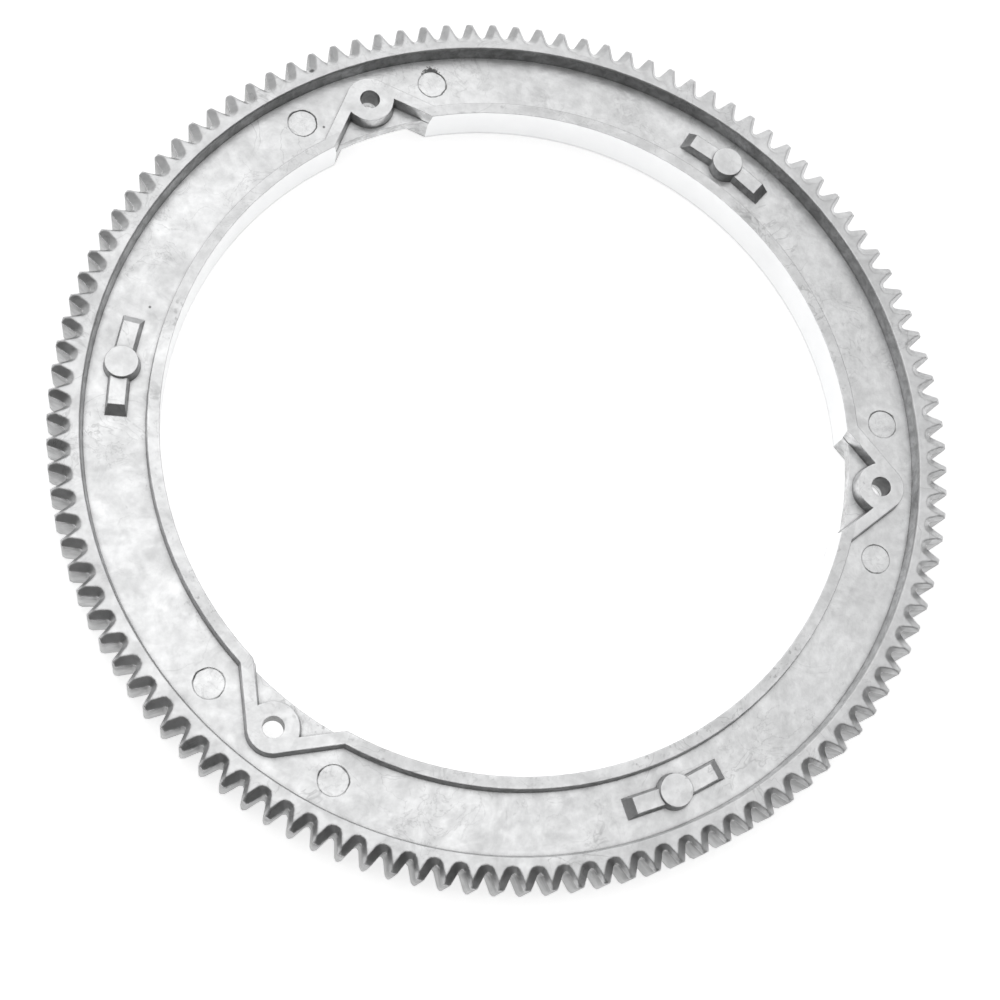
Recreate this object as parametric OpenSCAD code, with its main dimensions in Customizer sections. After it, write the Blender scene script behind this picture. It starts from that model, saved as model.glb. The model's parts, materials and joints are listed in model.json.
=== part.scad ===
// Flywheel ring gear: one cast aluminium ring, flat on its back, with spur teeth outside and a
// plain bore inside. The teeth carry a one-sided lead-in bevel at the front. A sunk web runs
// between the toothed rim and the inner rib. Three bolt bosses and three raised pads stand on it.
// Frame: origin at the centre of the flat back face, +Z out of the front, first boss on +X.

/* [Teeth] */
// Number of teeth
teeth = 113; // [100:1:124]
// Tooth module in mm (12 diametral pitch is 2.1167)
gear_module = 2.1167; // [2:0.01:2.25]
// Tooth depth as a multiple of the module
depth_factor = 2.268; // [2.1:0.01:2.3]
// Width of the flat at the bottom of a tooth space, in mm
space_bottom_w = 1.1; // [0.8:0.1:1.3]
// Slope of the sides of a tooth space from its middle line, in degrees
space_side_angle = 23.6; // [20:0.1:24]
// Angle of the first tooth from the first boss, counterclockwise from the front, in degrees
first_tooth_angle = 0.67; // [0:0.01:3]
// How much smaller in radius the tooth tips are at the front than at the back, in mm
tip_taper = 0.5; // [0.2:0.1:0.8]
// Depth of the turned bevel on the front of the tooth tips, in mm
tip_bevel_h = 1.2; // [0.8:0.1:1.4]
// Width of the turned bevel on the front of the tooth tips, in mm
tip_bevel_w = 1.4; // [1:0.1:1.6]

/* [Lead-in bevel] */
// Depth below the front face at which the bevel runs out into the tooth space, in mm
lead_in_depth = 1.5; // [1.2:0.05:2]
// How far the bevel lowers the bottom of a tooth space at the front face, in mm
lead_in_drop = 1.8; // [1.2:0.05:2]
// How far the bevel widens a tooth space on its clockwise side at the front face, in mm
lead_in_wide = 2.5; // [2:0.05:2.6]
// How far the bevel widens a tooth space on its counterclockwise side at the front face, in mm
lead_in_narrow = 1.1; // [0.8:0.05:1.2]
// Rounding of the bottom corners of the bevel at the front face, in mm
lead_in_round = 1.1; // [0.6:0.05:1.3]

/* [Ring] */
// Thickness over the rim, in mm
ring_t = 12.7; // [12:0.1:16]
// Width of metal from the bottom of the teeth in to the rim's inner edge, in mm
rim_w = 4.05; // [3.6:0.05:6]
// Small bevel on the rim's inner edge, in mm
rim_bevel = 0.3; // [0.2:0.05:0.5]
// Depth of the web below the rim's front face, in mm
web_drop = 4.6; // [4:0.1:5]
// Width of the flat web between the rim and the inner rib, in mm
web_w = 15.8; // [15.4:0.1:20]
// Width of the top of the inner rib, in mm
rib_w = 3.15; // [2.8:0.05:4]
// Depth of the top of the rib and of the bosses below the rim's front face, in mm
rib_drop = 1; // [0.6:0.1:1.4]
// Draft of the rim's inner wall, in degrees
rim_draft = 5.5; // [3:0.5:7]
// Draft of the rib, of the bosses and of the pads, in degrees
boss_draft = 7; // [5:0.5:8]

/* [Bolt bosses] */
// Number of bosses
bosses = 3; // [3:1:4]
// Distance of the bolt circle out from the bore, in mm
bolt_out = 9.3; // [9.1:0.1:9.6]
// Bolt hole diameter, in mm
bolt_d = 5.5; // [4.5:0.1:5.8]
// Radius of the round end of a boss at its top, in mm
boss_r = 6.5; // [6.2:0.1:6.8]
// Width of the top of a leg that joins the boss to the rib, in mm
leg_w = 3.2; // [2.8:0.1:3.4]
// Lean of a leg from the radius through the bolt hole, in degrees
leg_lean = 44.3; // [42:0.1:47]
// Radius of the round end of the hollow behind a boss, in mm
hollow_r = 4.2; // [3.8:0.1:4.4]
// Radius of the lobe on the side of a boss that faces the bore, in mm
lobe_r = 7; // [6.8:0.1:7.2]
// Offset of the middle of the lobe out from the bolt hole, in mm
lobe_out = 0.8; // [0.6:0.1:1]
// Depth of the top of the floor plate between the legs below the web, in mm
plate_sink = 0.2; // [0.1:0.1:0.4]
// Thickness of the floor plate between the legs, in mm
plate_t = 3.2; // [2.8:0.1:3.6]
// Distance of the floor plate's free edge out from the bore, in mm
plate_back = 1.3; // [1:0.1:1.6]

/* [Raised pads] */
// Distance of the middle of a pad out from the bore, in mm
pad_out = 11.1; // [10.9:0.1:11.6]
// Radius of the round middle of a pad, in mm
pad_disc_r = 4.3; // [3.8:0.1:4.6]
// Width of the foot of a bar, in mm
bar_w = 5.6; // [5:0.1:6]
// Reach of a bar from the middle of the pad along the foot, in mm
bar_reach = 13.9; // [12:0.1:15]
// Height of a bar above the web, in mm
bar_h = 2.6; // [2.2:0.1:2.8]
// Draft of the long sides of a bar, in degrees
bar_draft = 14; // [10:1:15]
// Slope of the end of a bar from the axis, in degrees
bar_end_slope = 42; // [30:1:45]

/* [Ejector marks] */
// Angle of a mark from the middle of the nearest boss, in degrees
mark_angle = 10.8; // [10.6:0.1:11.6]
// Distance of a mark out from the bore, in mm
mark_out = 11.9; // [11.7:0.1:12.2]
// Radius of a mark, in mm
mark_r = 4; // [3.4:0.1:4.1]
// Depth of a mark, in mm
mark_depth = 0.2; // [0.1:0.05:0.3]

/* [Hidden] */

// Extra length of a cutter past the face that it cuts
over = 1;
// How much wider the round end is than the legs that run into it
boss_proud = 0.05;
// Ledge at the foot of a leg's inner wall, over the hollow behind it
foot_ledge = 0.15;
// Steps round a full circle
ring_steps = 180;
boss_steps = 40;
pad_steps = 32;

// Radii of the ring, from the tips inwards
tip_r = gear_module * (teeth + 2) / 2;
root_r = tip_r - depth_factor * gear_module;
rim_in_r = root_r - rim_w;
step_foot_r = rim_in_r - web_drop * tan(rim_draft);
rib_foot_r = step_foot_r - web_w;
rib_out_r = rib_foot_r - (web_drop - rib_drop) * tan(boss_draft);
bore_r = rib_out_r - rib_w;

// Heights above the back face
web_z = ring_t - web_drop;
rib_z = ring_t - rib_drop;
plate_z = web_z - plate_sink - plate_t;
sunk_z = web_z - over;
top_z = ring_t + over;

// Tooth spaces
pitch_angle = 360 / teeth;
side_slope = tan(space_side_angle);
corner = 0.4 * space_bottom_w;
tip_round = 0.16 * gear_module;
front_tip_r = tip_r - tip_taper;
lead_in_r = root_r - lead_in_drop;
lead_in_tilt = atan(lead_in_drop / lead_in_depth);
cut_far = 2 * (tip_r - root_r);
cut_len = 2.6 * cut_far;

// Bosses: half_in is the distance of a leg's inner wall from the bolt hole's axis, at the top
boss_flare = grow(web_z);
bolt_r = bore_r + bolt_out;
leg_len = 3 * bolt_out;
half_in = boss_r - leg_w;

// Pads
pad_r = bore_r + pad_out;
bar_angle = 0.6 * atan(bar_reach / pad_r);
bar_back = pad_r * tan(bar_angle);
bar_draft_in = bar_h * tan(bar_draft);
bar_end_in = bar_h * tan(bar_end_slope);

ring_gear();

// Extra width that the draft gives a raised form at height z, on each side
function grow(z) = (rib_z - z) * tan(boss_draft);

// Point at radius r and at a distance t along the circle from the angle a
function on_circle(r, t, a) = [r * cos(a + t / r * 180 / PI), r * sin(a + t / r * 180 / PI)];

// Half the width of a tooth space at radius r
function space_half(r) = space_bottom_w / 2 + (r - root_r) * side_slope;

// Half the thickness of a tooth at radius r
function tooth_half(r) = PI * r / teeth - space_half(r);

// One tooth and the space after it: rounded tip, straight sides and a space with eased corners
function tooth_points(a) = [
    on_circle(root_r + corner, -tooth_half(root_r + corner), a),
    on_circle(tip_r - 2 * tip_round, -tooth_half(tip_r - 2 * tip_round), a),
    on_circle(tip_r - 0.5 * tip_round, tip_round - tooth_half(tip_r - 0.5 * tip_round), a),
    on_circle(tip_r + tip_round, 0, a),
    on_circle(tip_r - 0.5 * tip_round, tooth_half(tip_r - 0.5 * tip_round) - tip_round, a),
    on_circle(tip_r - 2 * tip_round, tooth_half(tip_r - 2 * tip_round), a),
    on_circle(root_r + corner, tooth_half(root_r + corner), a),
    on_circle(root_r, tooth_half(root_r) + corner, a),
    on_circle(root_r, space_bottom_w / 2 - corner, a + pitch_angle / 2)
];

// Outline of one side of the lead-in bevel on the front face, as distances out from lead_in_r and
// away from the middle of the tooth space: a wall beside the tooth, an eased corner, and a bottom
// that falls gently past the middle line m
function bevel_outline(wide, m) =
    let (
        low = 0.3 * lead_in_round,
        low_side = space_half(lead_in_r + low) + wide - low,
        fall = low / (low_side - m)
    )
    [
        [cut_far, space_half(lead_in_r + cut_far) + wide],
        [lead_in_round, space_half(lead_in_r + lead_in_round) + wide],
        [low, low_side],
        [-fall * (cut_far + m), -cut_far],
        [cut_far, -cut_far]
    ];

// Point of the outline, drawn square to a cut that tilts by lead_in_tilt and leans by lean
function bevel_point(out, side, lean) = [
    out * cos(lead_in_tilt),
    (side - out * sin(lead_in_tilt) * tan(lean)) * cos(lean)
];

// Toothed blank, solid to the centre, a little smaller at the front
module toothed_blank() {
    intersection() {
        linear_extrude(height = ring_t, convexity = 10)
            polygon([for (i = [0 : teeth - 1]) each tooth_points(first_tooth_angle + i * pitch_angle)]);
        rotate_extrude($fn = ring_steps)
            polygon([
                [0, -over],
                [tip_r + tip_taper * over / ring_t, -over],
                [front_tip_r + tip_taper * tip_bevel_h / ring_t, ring_t - tip_bevel_h],
                [front_tip_r - tip_bevel_w * (1 + over / tip_bevel_h), ring_t + over],
                [0, ring_t + over]
            ]);
    }
}

// One side of the lead-in bevel: a straight channel that rises inwards and away from the middle of
// the tooth space, clockwise (-1) or counterclockwise (1)
module lead_in_side(side, wide) {
    lean = -side * atan((wide - lead_in_drop * side_slope) / lead_in_depth * cos(lead_in_tilt));
    middle = side * (lead_in_narrow - lead_in_wide) / 2;
    translate([lead_in_r, 0, ring_t])
        rotate([lean, -lead_in_tilt, 0])
            linear_extrude(height = cut_len, center = true)
                polygon([for (p = bevel_outline(wide, middle)) bevel_point(p[0], side * p[1], lean)]);
}

// Lead-in bevel of one tooth space: its walls slope from the front face into the space
module lead_in(a) {
    rotate([0, 0, a])
        intersection() {
            lead_in_side(-1, lead_in_wide);
            lead_in_side(1, lead_in_narrow);
        }
}

// Sunk web between the rim and the rib
module front_recess() {
    rotate_extrude($fn = ring_steps)
        polygon([
            [rib_foot_r, web_z],
            [step_foot_r, web_z],
            [rim_in_r - rim_bevel * tan(rim_draft), ring_t - rim_bevel],
            [rim_in_r + rim_bevel, ring_t],
            [rim_in_r + rim_bevel, top_z],
            [rib_out_r + grow(top_z), top_z]
        ]);
}

// Region between the legs: q is its half width square to each leg, round at the bolt hole
module between_legs(q, z0, z1) {
    side = [q * sin(leg_lean), q * cos(leg_lean)];
    far = side + leg_len * [-cos(leg_lean), sin(leg_lean)];
    translate([bolt_r, 0, z0]) {
        cylinder(h = z1 - z0, r = q, $fn = boss_steps);
        linear_extrude(height = z1 - z0)
            polygon([[0, 0], side, far, [far[0], -far[1]], [side[0], -side[1]]]);
    }
}

// Leg from the bolt hole to the bore, as a bar with drafted sides that stands in the web
module leg() {
    translate([bolt_r, 0, 0])
        rotate([90, 0, 90 - leg_lean])
            translate([0, 0, -leg_len])
                linear_extrude(height = leg_len)
                    polygon([
                        [half_in - grow(sunk_z), sunk_z],
                        [boss_r + grow(sunk_z), sunk_z],
                        [boss_r + grow(top_z), top_z],
                        [half_in - grow(top_z), top_z]
                    ]);
}

// Round form with drafted sides that stands in the web: r is its radius at the height of the rib
module drafted_round(r, steps) {
    translate([0, 0, sunk_z])
        cylinder(h = top_z - sunk_z, r1 = r + grow(sunk_z), r2 = r + grow(top_z), $fn = steps);
}

// Boss: two legs, a round outer end, and a lobe on the side of the bore
module boss() {
    leg();
    mirror([0, 1, 0])
        leg();
    translate([bolt_r, 0, 0])
        drafted_round(boss_r + boss_proud, boss_steps);
    intersection() {
        translate([bolt_r + lobe_out, 0, 0])
            drafted_round(lobe_r, boss_steps);
        translate([bolt_r - 2 * lobe_r, -2 * lobe_r, 0])
            cube([2 * lobe_r, 4 * lobe_r, 2 * ring_t]);
    }
}

// Hollow behind a boss, open to the back and to the bore, with the floor plate left over it
module boss_hollow() {
    between_legs(half_in - boss_flare - foot_ledge, -over, plate_z);
    translate([bolt_r, 0, -over])
        cylinder(h = plate_z + over, r = hollow_r, $fn = boss_steps);
    intersection() {
        between_legs(half_in - boss_flare - foot_ledge, -over, ring_t + over);
        translate([0, 0, -2 * over])
            cylinder(h = ring_t + 4 * over, r = bore_r + plate_back, $fn = ring_steps);
    }
}

// Bar of a pad, square to the radius through its own middle: its long sides and its free end
// slope in towards the top
module bar() {
    rotate([0, 0, bar_angle])
        translate([pad_r, -bar_back, web_z])
            intersection() {
                bar_length();
                bar_end();
            }
}

// Long sides of a bar
module bar_length() {
    translate([0, bar_reach + over, 0])
        rotate([90, 0, 0])
            linear_extrude(height = bar_reach + over)
                polygon([
                    [-bar_w / 2 - over * tan(bar_draft), -over],
                    [bar_w / 2 + over * tan(bar_draft), -over],
                    [bar_w / 2 - bar_draft_in, bar_h],
                    [-bar_w / 2 + bar_draft_in, bar_h]
                ]);
}

// Sloping free end of a bar
module bar_end() {
    translate([-bar_w, 0, 0])
        rotate([90, 0, 90])
            linear_extrude(height = 2 * bar_w)
                polygon([
                    [0, -over],
                    [bar_reach + over * tan(bar_end_slope), -over],
                    [bar_reach - bar_end_in, bar_h],
                    [0, bar_h]
                ]);
}

// Raised pad: round middle level with the rib, and a lower bar on each side of it
module pad() {
    translate([pad_r, 0, 0])
        drafted_round(pad_disc_r, pad_steps);
    bar();
    mirror([0, 1, 0])
        bar();
}

// Repeats its child at each boss, turned by the angle a
module at_bosses(a) {
    for (i = [0 : bosses - 1])
        rotate([0, 0, i * 360 / bosses + a])
            children();
}

module ring_gear() {
    color([0.78, 0.79, 0.8])
        difference() {
            union() {
                difference() {
                    toothed_blank();
                    front_recess();
                    at_bosses(0)
                        between_legs(half_in + leg_w / 2, web_z - plate_sink, top_z);
                }
                at_bosses(0)
                    boss();
                at_bosses(180 / bosses)
                    pad();
            }
            for (i = [0 : teeth - 1])
                lead_in(first_tooth_angle + (i + 0.5) * pitch_angle);
            translate([0, 0, rib_z])
                cylinder(h = ring_t, r = step_foot_r - over, $fn = ring_steps);
            translate([0, 0, -over])
                cylinder(h = ring_t + 2 * over, r = bore_r, $fn = ring_steps);
            at_bosses(0)
                boss_hollow();
            at_bosses(0)
                translate([bolt_r, 0, plate_z - over])
                    cylinder(h = ring_t, r = bolt_d / 2, $fn = boss_steps);
            for (side = [-1, 1])
                at_bosses(side * mark_angle)
                    translate([bore_r + mark_out, 0, web_z - mark_depth])
                        cylinder(h = over, r = mark_r, $fn = pad_steps);
        }
}
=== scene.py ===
import json
from functools import cached_property

import bmesh
import bpy
import numpy as np
from mathutils import Matrix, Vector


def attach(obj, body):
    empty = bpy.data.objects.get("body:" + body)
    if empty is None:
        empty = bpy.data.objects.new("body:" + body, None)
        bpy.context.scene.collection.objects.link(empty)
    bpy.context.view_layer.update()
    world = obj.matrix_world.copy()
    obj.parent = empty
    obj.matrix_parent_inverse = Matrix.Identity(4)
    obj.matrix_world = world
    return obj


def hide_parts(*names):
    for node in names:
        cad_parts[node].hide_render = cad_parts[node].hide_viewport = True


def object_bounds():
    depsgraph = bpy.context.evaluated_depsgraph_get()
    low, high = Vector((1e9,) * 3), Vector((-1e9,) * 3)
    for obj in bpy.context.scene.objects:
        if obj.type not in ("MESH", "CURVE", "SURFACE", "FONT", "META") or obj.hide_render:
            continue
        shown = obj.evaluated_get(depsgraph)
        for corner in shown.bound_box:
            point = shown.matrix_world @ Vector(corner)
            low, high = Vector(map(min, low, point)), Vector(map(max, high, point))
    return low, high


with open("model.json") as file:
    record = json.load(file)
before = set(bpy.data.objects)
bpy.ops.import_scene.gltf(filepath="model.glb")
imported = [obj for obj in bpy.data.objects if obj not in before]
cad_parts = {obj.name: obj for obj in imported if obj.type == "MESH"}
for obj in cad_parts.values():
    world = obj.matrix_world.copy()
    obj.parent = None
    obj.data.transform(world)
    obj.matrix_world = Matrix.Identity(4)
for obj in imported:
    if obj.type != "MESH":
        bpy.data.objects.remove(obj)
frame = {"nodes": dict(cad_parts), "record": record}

cad_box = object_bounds()


# Viewpoint.
# The ring lies flat on its back and is looked at from above and a little to one side, with its
# first boss to the right. Only the place of the eye, its directions and the lens are set here.
tip_radius = cad_box[1][0]
ring_height = cad_box[1][2]
# Turn of the viewer's directions about the ring's axis, in degrees
view_turn = 6.5
# Place of the eye from the middle of the front face, in tip radii
eye_place = (-0.631, -1.256, 3.522)
view_right = (0.9860, 0.0, 0.1667)
view_up = (-0.0484, 0.9570, 0.2860)
sensor_mm = 36
focal_mm = 62.478
nearest_seen = 0.01


def turned(v, degrees):
    """A vector turned about the axis of the ring: x cos - y sin, x sin + y cos, z."""
    cos, sin = np.cos(np.radians(degrees)), np.sin(np.radians(degrees))
    x, y, z = v
    return (x * cos - y * sin, x * sin + y * cos, z)


def looking(eye, right, up):
    """Camera placed at eye: its columns are right, up and the direction back from the view."""
    right = np.array(right) / np.linalg.norm(right)
    back = np.cross(right, up)
    back /= np.linalg.norm(back)
    up = np.cross(back, right)
    placed = np.eye(4)
    placed[:3] = np.column_stack((right, up, back, eye))
    return Matrix(placed.tolist())


eye = tip_radius * np.array(turned(eye_place, view_turn))
eye[2] += ring_height
lens = bpy.data.cameras.new("lens")
lens.sensor_width = sensor_mm
lens.lens = focal_mm
lens.clip_start = nearest_seen
camera = bpy.data.objects.new("camera", lens)
camera.matrix_world = looking(eye, turned(view_right, view_turn), turned(view_up, view_turn))
bpy.context.collection.objects.link(camera)
bpy.context.scene.camera = camera


# Cast ring.
# One aluminium die casting. The web and bosses keep their grey cast skin with its flow marks. The
# teeth and their lead-in are cut afterwards, and the bore is bright. It takes the solid's shape.
seam = 1e-6
crease_degrees = 24

# Radii from the axis and heights from the back face, in metres. The sizes written out here are
# where a finish starts or ends, just clear of the edge that they are named for. A change of finish
# is about zone_edge wide
mounts = {mount["name"]: mount["dims"] for mount in frame["record"]["mounts"]}
boss_count = mounts["bolt_circle"]["count"]
bolt_circle_radius = mounts["bolt_circle"]["pcd_mm"] / 2000
hole_radius = mounts["bolt_circle"]["hole_r_mm"] / 1000
bore_radius = mounts["bore"]["r_mm"] / 1000
rib_radius = 0.0963
rim_radius = 0.1131
lead_in_radius = 0.1148
rib_height = 0.0115
zone_edge = 0.0002


def closed_copy(node, name):
    """The node's mesh as a new piece, with its seams closed and only its creases left sharp."""
    bm = bmesh.new()
    bm.from_mesh(node.data)
    bmesh.ops.remove_doubles(bm, verts=bm.verts, dist=seam)
    bm.verts.index_update()
    points = [v.co[:] for v in bm.verts]
    faces = [[v.index for v in f.verts] for f in bm.faces]
    bm.free()
    mesh = bpy.data.meshes.new(name)
    mesh.from_pydata(points, [], faces)
    mesh.shade_smooth()
    mesh.set_sharp_from_angle(angle=np.radians(crease_degrees))
    piece = bpy.data.objects.new(name, mesh)
    bpy.context.collection.objects.link(piece)
    return piece


ring = closed_copy(frame["nodes"]["ring_gear"], "cast_ring")
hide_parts("ring_gear")
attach(ring, "root")


class Tree:
    """Nodes of one material or world, with short calls for the kinds that the finishes use.

    A tone is a factor on the colour, and a mask is 1 inside its place and 0 outside it.
    """

    def __init__(self, owner):
        owner.use_nodes = True
        self.nodes = owner.node_tree.nodes
        self.links = owner.node_tree.links
        self.nodes.clear()

    def add(self, kind, inputs=(), **settings):
        """New node with its settings, and each input linked to a socket or set to a value."""
        node = self.nodes.new("ShaderNode" + kind)
        for name, value in settings.items():
            setattr(node, name, value)
        for key, value in dict(inputs).items():
            if isinstance(value, bpy.types.NodeSocket):
                self.links.new(value, node.inputs[key])
            else:
                node.inputs[key].default_value = value
        return node

    @cached_property
    def coords(self):
        """Outputs of the tree's one Texture Coordinate node."""
        return self.add("TexCoord").outputs

    def split(self, vector):
        """The x, y and z of a vector."""
        return self.add("SeparateXYZ", {0: vector}).outputs[:]

    def math(self, operation, *values):
        """Result of one Math node."""
        return self.add("Math", enumerate(values), operation=operation).outputs[0]

    def times(self, *values):
        """Product of all the values."""
        product = values[0]
        for value in values[1:]:
            product = self.math("MULTIPLY", product, value)
        return product

    def length(self, a, b):
        """Length of the plan vector a, b: the root of a a + b b."""
        return self.math("SQRT", self.math("ADD", self.times(a, a), self.times(b, b)))

    def near(self, x, y, px, py):
        """Distance on the plan from the point px, py."""
        return self.length(self.math("SUBTRACT", x, px), self.math("SUBTRACT", y, py))

    def noise(self, scale, detail, rough, bend=0.0, seed=0.0):
        """Noise about 0.5 on the object's own coordinates; seed slides it to another part."""
        slid = {0: self.coords["Object"], 1: (seed, 1.7 * seed, 0.3 * seed)}
        place = self.add("VectorMath", slid, operation="ADD").outputs[0]
        look = {"Scale": scale, "Detail": detail, "Roughness": rough, "Distortion": bend}
        return self.add("TexNoise", {"Vector": place, **look}).outputs["Fac"]

    def step(self, value, low, high, start=0.0, end=1.0):
        """Smooth change from start to end while value goes from low to high."""
        span = enumerate((value, low, high, start, end))
        return self.add("MapRange", span, interpolation_type="SMOOTHSTEP").outputs[0]

    def fade(self, value, low, high):
        """1 while value is under low, falling smoothly to 0 at high."""
        return self.step(value, low, high, start=1.0, end=0.0)

    def crease(self, value, width):
        """1 on the line where value is 0.5, falling to 0 at width on each side of it."""
        return self.fade(self.math("ABSOLUTE", self.math("SUBTRACT", value, 0.5)), 0.0, width)

    def blend(self, mask, outside, inside):
        """outside (1 - mask) + inside mask."""
        return self.add("Mix", {"Factor": mask, "A": outside, "B": inside}).outputs["Result"]

    def within(self, mask, tone):
        """The tone inside the mask, and 1 outside it."""
        return self.blend(mask, 1.0, tone)

    def openness(self, reach, inside=False):
        """How free the surface is of other faces within reach, in front of it or behind it."""
        node = self.add("AmbientOcclusion", {"Distance": reach}, samples=4, inside=inside)
        return node.outputs["AO"]


def clouds(skin):
    """Product of three noises about 1: wide clouds, patches and a fine mottle."""
    wide = skin.noise(scale=30, detail=4, rough=0.6, bend=0.7)
    patches = skin.noise(scale=110, detail=5, rough=0.62, bend=1.2, seed=0.3)
    mottle = skin.noise(scale=480, detail=3, rough=0.6, seed=0.7)
    return skin.times(
        skin.step(wide, 0.3, 0.7, start=0.93, end=1.04),
        skin.step(patches, 0.3, 0.72, start=0.90, end=1.06),
        skin.step(mottle, 0.25, 0.75, start=0.93, end=1.05),
    )


def flow_lines(skin):
    """Thin wandering creases, long and short, each only where a second noise is high."""
    long_places = skin.step(skin.noise(scale=26, detail=2, rough=0.5, seed=1.1), 0.47, 0.62)
    long_waves = skin.noise(scale=42, detail=4, rough=0.55, bend=1.6, seed=1.9)
    long_lines = skin.crease(long_waves, width=0.012)
    short_places = skin.step(skin.noise(scale=34, detail=2, rough=0.5, seed=2.3), 0.5, 0.62)
    short_waves = skin.noise(scale=95, detail=5, rough=0.6, bend=1.4, seed=2.9)
    short_lines = skin.crease(short_waves, width=0.02)
    return skin.times(
        skin.within(skin.times(long_lines, long_places), tone=0.78),
        skin.within(skin.times(short_lines, short_places), tone=0.84),
    )


def soot_specks(skin, from_axis):
    """Fine dark specks in patches, four times as strong at the rib as out on the web."""
    strong_radius = 0.0935
    weak_radius = 0.1005
    patches = skin.step(skin.noise(scale=60, detail=3, rough=0.6, bend=0.5, seed=3.7), 0.5, 0.66)
    specks = skin.step(skin.noise(scale=760, detail=2, rough=0.6, seed=4.1), 0.56, 0.7)
    strength = skin.step(from_axis, strong_radius, weak_radius, start=1.0, end=0.25)
    return skin.within(skin.times(specks, patches, strength), tone=0.66)


def pits(skin, x, y):
    """Dark hollows in the skin: two pits on the web, and a chip at the foot of a tooth."""
    tones = []
    for px, py, radius in (
        (-0.09995, 0.01762, 0.0004),
        (-0.06254, 0.07945, 0.0004),
        (-0.06827, 0.09366, 0.0008),
    ):
        pit = skin.fade(skin.near(x, y, px, py), 0.5 * radius, 1.2 * radius)
        tones.append(skin.within(pit, tone=0.25))
    return skin.times(*tones)


def stains(skin, x, y):
    """Grey stains on the web and the rib, broken up by a noise."""
    patchy = skin.step(skin.noise(scale=260, detail=4, rough=0.65, bend=0.8, seed=9.7), 0.42, 0.6)
    tones = []
    for px, py, radius, grey in (
        (-0.0032, 0.0990, 0.006, 0.84),
        (0.0214, 0.1032, 0.005, 0.80),
        (0.0588, 0.0750, 0.006, 0.78),
        (-0.0942, -0.0078, 0.004, 0.74),
        (0.0725, 0.0789, 0.007, 0.90),
    ):
        stain = skin.fade(skin.near(x, y, px, py), 0.3 * radius, 1.3 * radius)
        tones.append(skin.within(skin.times(stain, patchy), tone=grey))
    return skin.times(*tones)


def from_spot(skin, from_axis, past_boss, radius_out, degrees=0.0):
    """Distance on the plan from the nearest of the spots that lie at radius_out, by degrees to each
    side of every boss. With r the distance from the axis and a the angle past the spot, it is the
    length of r cos a - radius_out and r sin a."""
    past_spot = skin.math("SUBTRACT", past_boss, np.radians(degrees))
    along = skin.times(from_axis, skin.math("COSINE", past_spot))
    aside = skin.times(from_axis, skin.math("SINE", past_spot))
    return skin.length(skin.math("SUBTRACT", along, radius_out), aside)


def ejector_marks(skin, x, y, from_axis, past_boss):
    """A wavering, broken outline round each mark, a lighter inside with a faint swirl, and torn
    skin against the outer edge of one mark."""
    mark_degrees = 10.8
    circle_radius = 0.10492
    mark_radius = 0.004
    waver = 0.00022
    torn_place = (-0.0352, 0.1021)
    torn_radius = 0.002
    torn_waver = 0.0007

    from_mark = from_spot(skin, from_axis, past_boss, circle_radius, mark_degrees)
    wobble = skin.noise(scale=420, detail=3, rough=0.6, seed=7.3)
    wobble = skin.step(wobble, 0.2, 0.8, start=-waver, end=waver)
    off_line = skin.math("SUBTRACT", skin.math("ADD", from_mark, wobble), mark_radius)
    line = skin.fade(skin.math("ABSOLUTE", off_line), 0.4 * zone_edge, 1.6 * zone_edge)
    line_places = skin.step(skin.noise(scale=130, detail=2, rough=0.5, seed=7.9), 0.42, 0.58)

    inside = skin.fade(from_mark, mark_radius - 1.5 * zone_edge, mark_radius)
    swirl = skin.crease(skin.noise(scale=210, detail=3, rough=0.5, bend=2.2, seed=8.3), width=0.03)

    ragged = skin.noise(scale=1500, detail=3, rough=0.7, seed=8.9)
    ragged = skin.step(ragged, 0.3, 0.7, start=-torn_waver, end=torn_waver)
    from_torn = skin.math("ADD", skin.near(x, y, *torn_place), ragged)
    torn = skin.fade(from_torn, torn_radius, torn_radius + 2 * zone_edge)
    outside = skin.step(from_mark, mark_radius - 0.5 * zone_edge, mark_radius + 0.5 * zone_edge)
    return skin.times(
        skin.within(skin.times(line, line_places), tone=0.22),
        skin.within(inside, tone=1.05),
        skin.within(skin.times(inside, swirl), tone=0.88),
        skin.within(skin.times(torn, outside), tone=0.14),
    )


def rim_and_flank_shade(skin, from_axis, z, steep):
    """The rim a little greyer than the web, and painted shade on the cut flanks of the teeth, most
    at their front ends and broken up by a noise."""
    flank_back = 0.002
    flank_front = 0.0122
    rim = skin.step(from_axis, rim_radius, rim_radius + zone_edge)
    flank = skin.times(steep, skin.step(from_axis, lead_in_radius, lead_in_radius + 2 * zone_edge))
    dark = skin.step(z, flank_back, flank_front, start=0.38, end=0.64)
    flank_shade_breakup = skin.noise(scale=300, detail=3, rough=0.6, bend=0.5, seed=11.1)
    flank_shade_breakup = skin.step(flank_shade_breakup, 0.3, 0.7, start=0.8, end=1.15)
    return skin.times(
        skin.within(rim, tone=0.92),
        # Painted shade on the tooth flanks, darker towards their front ends
        skin.within(skin.times(flank, dark, flank_shade_breakup), tone=0.0),
    )


def wall_shade_and_rib(skin, from_axis, z, steep, past_bore):
    """The cast walls between the bore and the rim darkened with painted shade and mottled, and the
    top of the rib a little greyer."""
    wall = skin.times(steep, skin.fade(from_axis, rim_radius, rim_radius + zone_edge), past_bore)
    drag = skin.noise(scale=330, detail=4, rough=0.65, bend=0.6, seed=10.3)
    drag = skin.step(drag, 0.3, 0.7, start=0.82, end=1.3)
    flat = skin.math("SUBTRACT", 1.0, steep)
    high = skin.step(z, rib_height, rib_height + 0.5 * zone_edge)
    rib_top = skin.times(skin.fade(from_axis, rib_radius, rib_radius + 0.5 * zone_edge), flat, high)
    return skin.times(
        # Painted shade: the steep walls darker than the flats
        skin.within(wall, tone=0.7),
        skin.within(wall, tone=drag),
        skin.within(rib_top, tone=0.93),
    )


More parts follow.
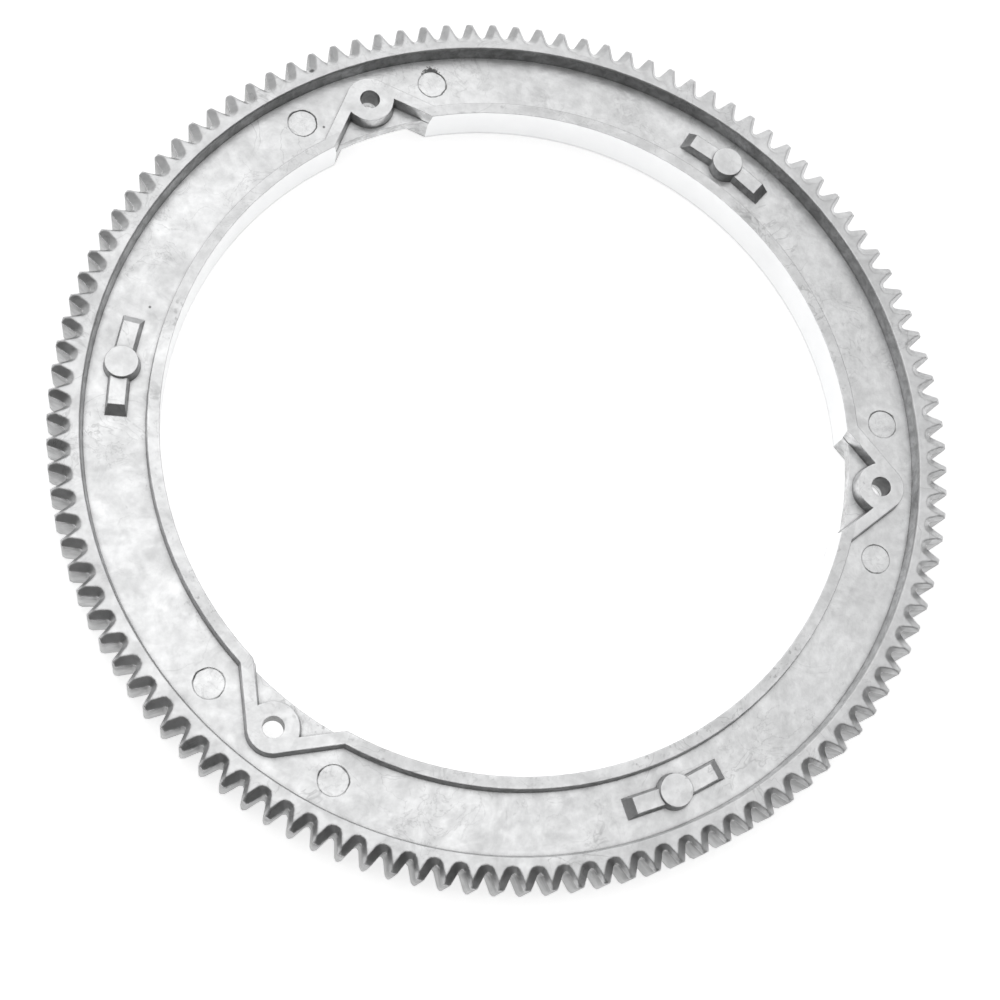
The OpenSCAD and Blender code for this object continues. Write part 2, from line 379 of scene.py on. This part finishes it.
def bolt_hole_shade(skin, from_axis, past_boss, steep):
    """The walls of the bolt holes nearly black, as painted shade."""
    from_hole = from_spot(skin, from_axis, past_boss, bolt_circle_radius)
    hole_edge = hole_radius + 0.75 * zone_edge
    hole_shade = skin.fade(from_hole, hole_edge, hole_edge + zone_edge)
    # Painted shade inside the bolt holes
    return skin.within(skin.times(steep, hole_shade), tone=0.18)


def cast_skin():
    """Metal of the ring: all the tones multiplied, painted shade in the corners, painted highlights
    along the edges, the edges eased, and a grainy bump."""
    skin_tone = 0.86
    bore_tone = 0.95
    corner_shade_reach = 0.0011
    edge_highlight_reach = 0.0005
    edge_radius = 0.00035
    tooth_edge_radius = 0.0007
    grain_height = 0.0001
    black = (0, 0, 0, 1)
    aluminium = (0.965, 0.97, 0.975, 1)

    mat = bpy.data.materials.new("as_cast_aluminium")
    skin = Tree(mat)
    x, y, z = skin.split(skin.coords["Object"])
    from_axis = skin.length(x, y)
    # Angle to the nearest boss, which folds the plan onto one sixth of the ring
    past_boss = skin.math("PINGPONG", skin.math("ARCTAN2", y, x), np.pi / boss_count)
    # Walls are steep, and flats are not
    steep = skin.fade(skin.math("ABSOLUTE", skin.split(skin.coords["Normal"])[2]), 0.3, 0.75)
    bore_edge = bore_radius + 0.125 * zone_edge
    past_bore = skin.step(from_axis, bore_edge, bore_edge + 0.25 * zone_edge)

    tone = skin.times(
        clouds(skin),
        flow_lines(skin),
        soot_specks(skin, from_axis),
        pits(skin, x, y),
        ejector_marks(skin, x, y, from_axis, past_boss),
        stains(skin, x, y),
        rim_and_flank_shade(skin, from_axis, z, steep),
        wall_shade_and_rib(skin, from_axis, z, steep, past_bore),
        bolt_hole_shade(skin, from_axis, past_boss, steep),
        skin_tone,
    )
    bore_wall = skin.times(steep, skin.math("SUBTRACT", 1.0, past_bore))
    tone = skin.blend(bore_wall, tone, bore_tone)
    # Painted shade: the colour darkens where other faces are near, as in corners and creases
    painted_corner_shade = skin.step(skin.openness(corner_shade_reach), 0.4, 0.93, start=0.55, end=1.0)
    # Painted highlight: the colour brightens along thin convex edges
    painted_edge_highlight = skin.step(skin.openness(edge_highlight_reach, inside=True), 0.55, 0.95, start=0.14, end=0.0)
    tone = skin.math("ADD", skin.times(tone, painted_corner_shade), painted_edge_highlight)
    base = skin.add("Mix", data_type="RGBA")
    base.inputs["A"].default_value = black
    base.inputs["B"].default_value = aluminium
    skin.links.new(tone, base.inputs["Factor"])

    dull = skin.noise(scale=140, detail=4, rough=0.6, bend=0.6, seed=5.3)
    rim_to_teeth = skin.step(from_axis, rim_radius, lead_in_radius + zone_edge)
    eased_by = skin.blend(rim_to_teeth, edge_radius, tooth_edge_radius)
    eased = skin.add("Bevel", {"Radius": eased_by}, samples=4)
    sand = skin.noise(scale=900, detail=3, rough=0.6, seed=6.1)
    waves = skin.noise(scale=150, detail=3, rough=0.55, bend=0.4, seed=6.7)
    grain = skin.add("Bump", {
        "Strength": 0.35,
        "Distance": grain_height,
        "Height": skin.math("ADD", sand, skin.times(waves, 2.5)),
        "Normal": eased.outputs[0],
    })
    metal = skin.add("BsdfPrincipled", {
        "Metallic": 1.0,
        "Base Color": base.outputs["Result"],
        "Roughness": skin.step(dull, 0.3, 0.7, start=0.30, end=0.42),
        "Normal": grain.outputs[0],
    })
    skin.add("OutputMaterial", {0: metal.outputs[0]})
    return mat


ring.data.materials.clear()
ring.data.materials.append(cast_skin())


# Table and studio.
# A white table under the ring. A broad light hangs over it and behind it, and the side where the
# viewer stands is dark, so that walls which face the viewer come out darker than the web.
table_reach = 4
table_colour = (0.85, 0.85, 0.85, 1)
table_glow = 0.74
studio_strength = 1.35
# Brightness of the sky at cosines from the way back, and at cosines from the way right
back_levels = ((-0.9, 0.10), (-0.33, 0.13), (0.03, 1.0), (0.33, 1.0), (0.6, 0.72), (0.95, 0.6))
right_levels = ((-0.9, 0.35), (-0.5, 0.62), (-0.1, 1.02), (0.1, 1.02), (0.42, 0.57), (0.9, 0.2))

sides = ((-1, -1), (1, -1), (1, 1), (-1, 1))
table_corners = [(table_reach * x, table_reach * y, 0) for x, y in sides]
table_mesh = bpy.data.meshes.new("table")
table_mesh.from_pydata(table_corners, [], [(0, 1, 2, 3)])
table = bpy.data.objects.new("table", table_mesh)
bpy.context.collection.objects.link(table)

# The table glows only for the rays that see it straight on, in the metal or through glass, so that
# it comes out white there and its matte paint still takes the shadow
table_white = bpy.data.materials.new("table_white")
paint = Tree(table_white)
ray = paint.add("LightPath").outputs
seen = paint.math("MAXIMUM", ray["Is Camera Ray"], ray["Is Glossy Ray"])
seen = paint.math("MAXIMUM", seen, ray["Is Transmission Ray"])
matte = paint.add("BsdfDiffuse", {"Color": table_colour})
glow = paint.add("Emission", {"Strength": paint.math("MULTIPLY", seen, table_glow)})
both = paint.add("AddShader", {0: matte.outputs[0], 1: glow.outputs[0]})
paint.add("OutputMaterial", {0: both.outputs[0]})
table_mesh.materials.append(table_white)

studio = bpy.data.worlds.new("studio")
bpy.context.scene.world = studio
sky = Tree(studio)


def across(direction, levels):
    """Brightness over the cosine between the sky's direction and the one given, eased from each
    cosine and level to the next."""
    directions = {0: sky.coords["Generated"], 1: direction}
    cosine = sky.add("VectorMath", directions, operation="DOT_PRODUCT").outputs["Value"]
    span = sky.add("MapRange", {0: cosine, 1: -1.0, 2: 1.0})
    ramp = sky.add("ValToRGB", {0: span.outputs[0]})
    ramp.color_ramp.interpolation = "EASE"
    stops = ramp.color_ramp.elements
    while len(stops) < len(levels):
        stops.new(0.5)
    for stop, (at, level) in zip(stops, levels):
        stop.position = 0.5 + 0.5 * at
        stop.color = (level, level, level, 1)
    return ramp.outputs[0]


behind = across(turned((0.0, 1.0, 0.0), view_turn), back_levels)
beside = across(turned((1.0, 0.0, 0.0), view_turn), right_levels)
air = sky.add("Background", {"Color": sky.times(behind, beside), "Strength": studio_strength})
sky.add("OutputWorld", {0: air.outputs[0]})

bpy.context.scene.view_settings.view_transform = "Standard"
